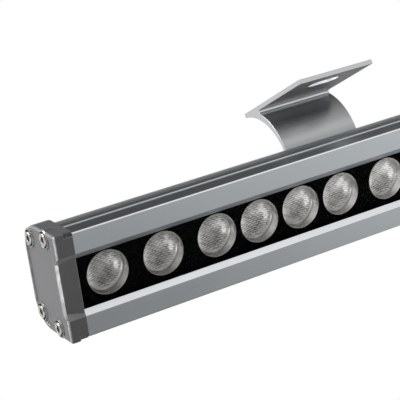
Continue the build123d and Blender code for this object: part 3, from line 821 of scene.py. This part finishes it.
class WASHER_OT_clamp(bpy.types.Operator):
    """Make the threaded bolt, washers and nut of the clamp, and finish its saddle"""

    bl_idname = "washer.clamp"
    bl_label = "Clamp"

    def execute(self, context):
        dress("clamp_saddle", "saddle_satin")
        steel = ("clamp_body", "stainless_steel", "stainless")
        head = chamfered_hex(BOLT_SEAT_Y - GAP - BOLT_HEAD, BOLT_SEAT_Y - GAP)
        shank = threaded(BOLT_SEAT_Y - 0.3, BOLT_SEAT_Y + BOLT_LENGTH)
        piece("clamp_bolt_threaded", [head, shank], *steel, replaces=["clamp_t_bolt"])
        piece("clamp_washer_flat", [flat_washer(WASHER_Y)], *steel, replaces=["clamp_flat_washer"])
        spring_y = WASHER_Y + WASHER_THICKNESS
        piece("clamp_washer_spring", [spring_washer(spring_y)], *steel, replaces=["clamp_spring_washer"])
        nut_y = spring_y + WASHER_THICKNESS
        nut = chamfered_hex(nut_y, nut_y + NUT_HEIGHT, NUT_BORE)
        piece("clamp_nut_hex", [nut], *steel, replaces=["clamp_nut"])
        return {"FINISHED"}


# ------------------------------------------------------------------ carried-over nodes
class WASHER_OT_bracket(bpy.types.Operator):
    """Finish the bracket in satin aluminium"""

    bl_idname = "washer.bracket"
    bl_label = "Bracket"

    def execute(self, context):
        dress("bracket", "bracket_satin")
        return {"FINISHED"}


class WASHER_OT_housing(bpy.types.Operator):
    """Finish the extruded housing"""

    bl_idname = "washer.housing"
    bl_label = "Housing"

    def execute(self, context):
        dress("housing", "housing_satin")
        return {"FINISHED"}


class WASHER_OT_end_caps(bpy.types.Operator):
    """Finish the end caps and their gaskets"""

    bl_idname = "washer.end_caps"
    bl_label = "End caps"

    def execute(self, context):
        for side in ("left", "right"):
            dress(f"end_cap_{side}", "cap_coat")
            dress(f"cap_gasket_{side}", "gasket_rubber")
        return {"FINISHED"}


class WASHER_OT_window(bpy.types.Operator):
    """Finish the front glass, its seals and the black mask"""

    bl_idname = "washer.window"
    bl_label = "Window"

    def execute(self, context):
        dress("front_glass", "window_glass")
        dress("glass_seal_upper", "seal_silicone")
        dress("glass_seal_lower", "seal_silicone")
        dress("lens_mask", "mask_black")
        return {"FINISHED"}


class WASHER_OT_light_engine(bpy.types.Operator):
    """Finish the holders, emitters, board and the parts on it"""

    bl_idname = "washer.light_engine"
    bl_label = "Light engine"

    def execute(self, context):
        for node, finish_name in {
            "lens_holders": "holder_black", "led_emitters": "emitter_phosphor", "led_board": "board_white",
            "thermal_pad": "pad_grey", "board_screws": "zinc_plate", "current_regulators": "chip_epoxy",
            "supply_terminal": "terminal_nylon",
        }.items():
            dress(node, finish_name)
        return {"FINISHED"}


class WASHER_OT_gland(bpy.types.Operator):
    """Finish the cable gland"""

    bl_idname = "washer.gland"
    bl_label = "Cable gland"

    def execute(self, context):
        for node in ("gland_body", "gland_locknut", "gland_cap_nut"):
            dress(node, "nickel_plate")
        for node in ("gland_ring", "gland_seal"):
            dress(node, "gasket_rubber")
        return {"FINISHED"}


# ------------------------------------------------------------------ stage
# the camera's place in metres, its two axes, and its focal length in millimetres on a 36 mm sensor
CAMERA_PLACE = (-0.40390, -0.61971, -0.09479)
CAMERA_RIGHT = (0.850707, -0.399750, -0.341317)
CAMERA_UP = (0.273134, -0.218613, 0.936806)
CAMERA_LENS, CAMERA_SENSOR = 128.17, 36.0

LAMP_MIDDLE = Vector((0.0, 0.0, -0.04))
FLOOR_RINGS = (0.02, 0.4, 0.8, 1.2)
FLOOR_FADE = (0.75, 1.15)


def softbox(name, direction, distance, size, power):
    """A soft lamp that faces the middle of the part from this direction."""
    lamp = bpy.data.lights.new(name, "AREA")
    lamp.shape = "RECTANGLE"
    lamp.size, lamp.size_y = size
    lamp.energy = power
    made = bpy.data.objects.new(name, lamp)
    bpy.context.scene.collection.objects.link(made)
    away = Vector(direction).normalized()
    made.location = LAMP_MIDDLE + away * distance
    made.rotation_euler = away.to_track_quat("Z", "Y").to_euler()


def floor_material(colour):
    """Pale floor that keeps shadows, fades out at its rim and is clear from below."""
    f = Finish("stage_floor")
    seen, mirrored = f.rays()
    place = f.place()
    x, y = f.axis(place, "X"), f.axis(place, "Y")
    # how light metal mirrors it: painted lighter patches to both sides, and a painted shadow of the lamp
    # from under it to behind it
    sides = x.between(-0.10, 0.38) * 0.7 + (1.0 - x.between(-0.6, -0.35)) * 2.5
    behind = y.between(-0.29, -0.15) * 0.38 + y.between(0.2, 0.5) * 0.2
    level = seen + mirrored * (0.60 + sides - behind)
    diffuse = f.node("ShaderNodeBsdfDiffuse", values={"Color": rgba(colour, 0.82)})
    glow = f.node("ShaderNodeEmission", values={"Color": f.scaled(colour, level)})
    surface = f.node("ShaderNodeMixShader", values={0: seen * 0.7 + mirrored * 0.8, 1: diffuse, 2: glow})
    radius = f.node("ShaderNodeVectorMath", {"operation": "LENGTH"}, {0: place}, "Value")
    below = f.node("ShaderNodeNewGeometry", output="Backfacing")
    clear = f.node("ShaderNodeBsdfTransparent")
    faded = radius.between(*FLOOR_FADE).larger(below)
    return f.close(f.node("ShaderNodeMixShader", values={0: faded, 1: surface, 2: clear}))


def studio_world(colour):
    """White to the camera, shaded where metal mirrors it, and dim as a light."""
    f = Finish("studio", "worlds")
    seen, mirrored = f.rays()
    away = f.node("ShaderNodeTexCoord", output="Generated")
    rise = f.axis(away, "Z")
    back = f.axis(away, "Y").between(-0.3, 0.5)
    right = f.axis(away, "X").between(-0.2, 0.3)
    ahead = 1.0 - rise.between(-0.2, 0.05) * 0.4 - rise.between(0.6, 0.9) * 0.4
    behind = (1.0 - right * 0.30) * (1.0 - rise.between(0.28, 0.7))
    behind = behind - (1.0 - rise.between(-0.12, 0.05)) * right * 0.6
    mirror = ahead + (behind - ahead) * back + 0.02
    level = seen + mirrored * mirror + (1.0 - seen - mirrored) * 0.08
    return f.close(f.node("ShaderNodeBackground", values={"Color": f.scaled(colour, level)}))


class WASHER_OT_stage(bpy.types.Operator):
    """Make the floor, the soft lights, the white background and the camera"""

    bl_idname = "washer.stage"
    bl_label = "Stage"

    def execute(self, context):
        scene = context.scene
        scene.view_settings.view_transform = "Standard"
        backdrop = colours().backdrop

        mesh = bpy.data.meshes.new("stage_floor")
        rings = [[(x, y, 0.0) for x, y in circle(radius, 96)] for radius in FLOOR_RINGS]
        verts, faces = skin(rings, close_end=False)
        mesh.from_pydata(verts, [], faces)
        outward(mesh)
        if mesh.polygons[0].normal.z < 0:
            mesh.flip_normals()
        mesh.materials.append(floor_material(backdrop))
        floor = bpy.data.objects.new("stage_floor", mesh)
        floor.location = (0, 0, -sizes().floor_drop)
        scene.collection.objects.link(floor)

        scene.world = studio_world(backdrop)
        softbox("softbox_left", (-1.0, 0.0, 1.0), 1.0, (0.7, 0.7), 13.0)
        softbox("softbox_front", (0.449, -0.785, 0.385), 1.1, (0.5, 0.3), 0.25)

        camera = bpy.data.cameras.new("camera")
        camera.lens = CAMERA_LENS
        camera.sensor_width = CAMERA_SENSOR
        camera.clip_start, camera.clip_end = 0.02, 20.0
        made = bpy.data.objects.new("camera", camera)
        right, up = Vector(CAMERA_RIGHT), Vector(CAMERA_UP)
        axes = Matrix((right, up, right.cross(up))).transposed()
        made.matrix_world = Matrix.Translation(CAMERA_PLACE) @ axes.to_4x4()
        scene.collection.objects.link(made)
        scene.camera = made
        return {"FINISHED"}


# ------------------------------------------------------------------ panel
OPERATORS = (
    WASHER_OT_stage, WASHER_OT_bracket, WASHER_OT_clamp, WASHER_OT_housing, WASHER_OT_window,
    WASHER_OT_lenses, WASHER_OT_light_engine, WASHER_OT_end_caps, WASHER_OT_cap_screws, WASHER_OT_gland,
)


class WASHER_PT_panel(bpy.types.Panel):
    """Sizes, colours and pieces of the wall washer light"""

    bl_idname = "WASHER_PT_panel"
    bl_label = "Wall washer light"
    bl_space_type = "VIEW_3D"
    bl_region_type = "UI"
    bl_category = "Wall washer"

    def draw(self, context):
        for group in (context.scene.washer_sizes, context.scene.washer_colours):
            box = self.layout.box()
            for key in group.__annotations__:
                box.prop(group, key)
        for made in OPERATORS:
            self.layout.operator(made.bl_idname)


CLASSES = (WASHER_PG_sizes, WASHER_PG_colours, *OPERATORS, WASHER_PT_panel)


def register():
    for made in CLASSES:
        bpy.utils.register_class(made)
    bpy.types.Scene.washer_sizes = bpy.props.PointerProperty(type=WASHER_PG_sizes)
    bpy.types.Scene.washer_colours = bpy.props.PointerProperty(type=WASHER_PG_colours)


def unregister():
    del bpy.types.Scene.washer_colours
    del bpy.types.Scene.washer_sizes
    for made in reversed(CLASSES):
        bpy.utils.unregister_class(made)


def main():
    register()
    bpy.ops.washer.stage()
    bpy.ops.washer.bracket()
    bpy.ops.washer.clamp()
    bpy.ops.washer.housing()
    bpy.ops.washer.window()
    bpy.ops.washer.lenses()
    bpy.ops.washer.light_engine()
    bpy.ops.washer.end_caps()
    bpy.ops.washer.cap_screws()
    bpy.ops.washer.gland()


if __name__ == "__main__":
    main()
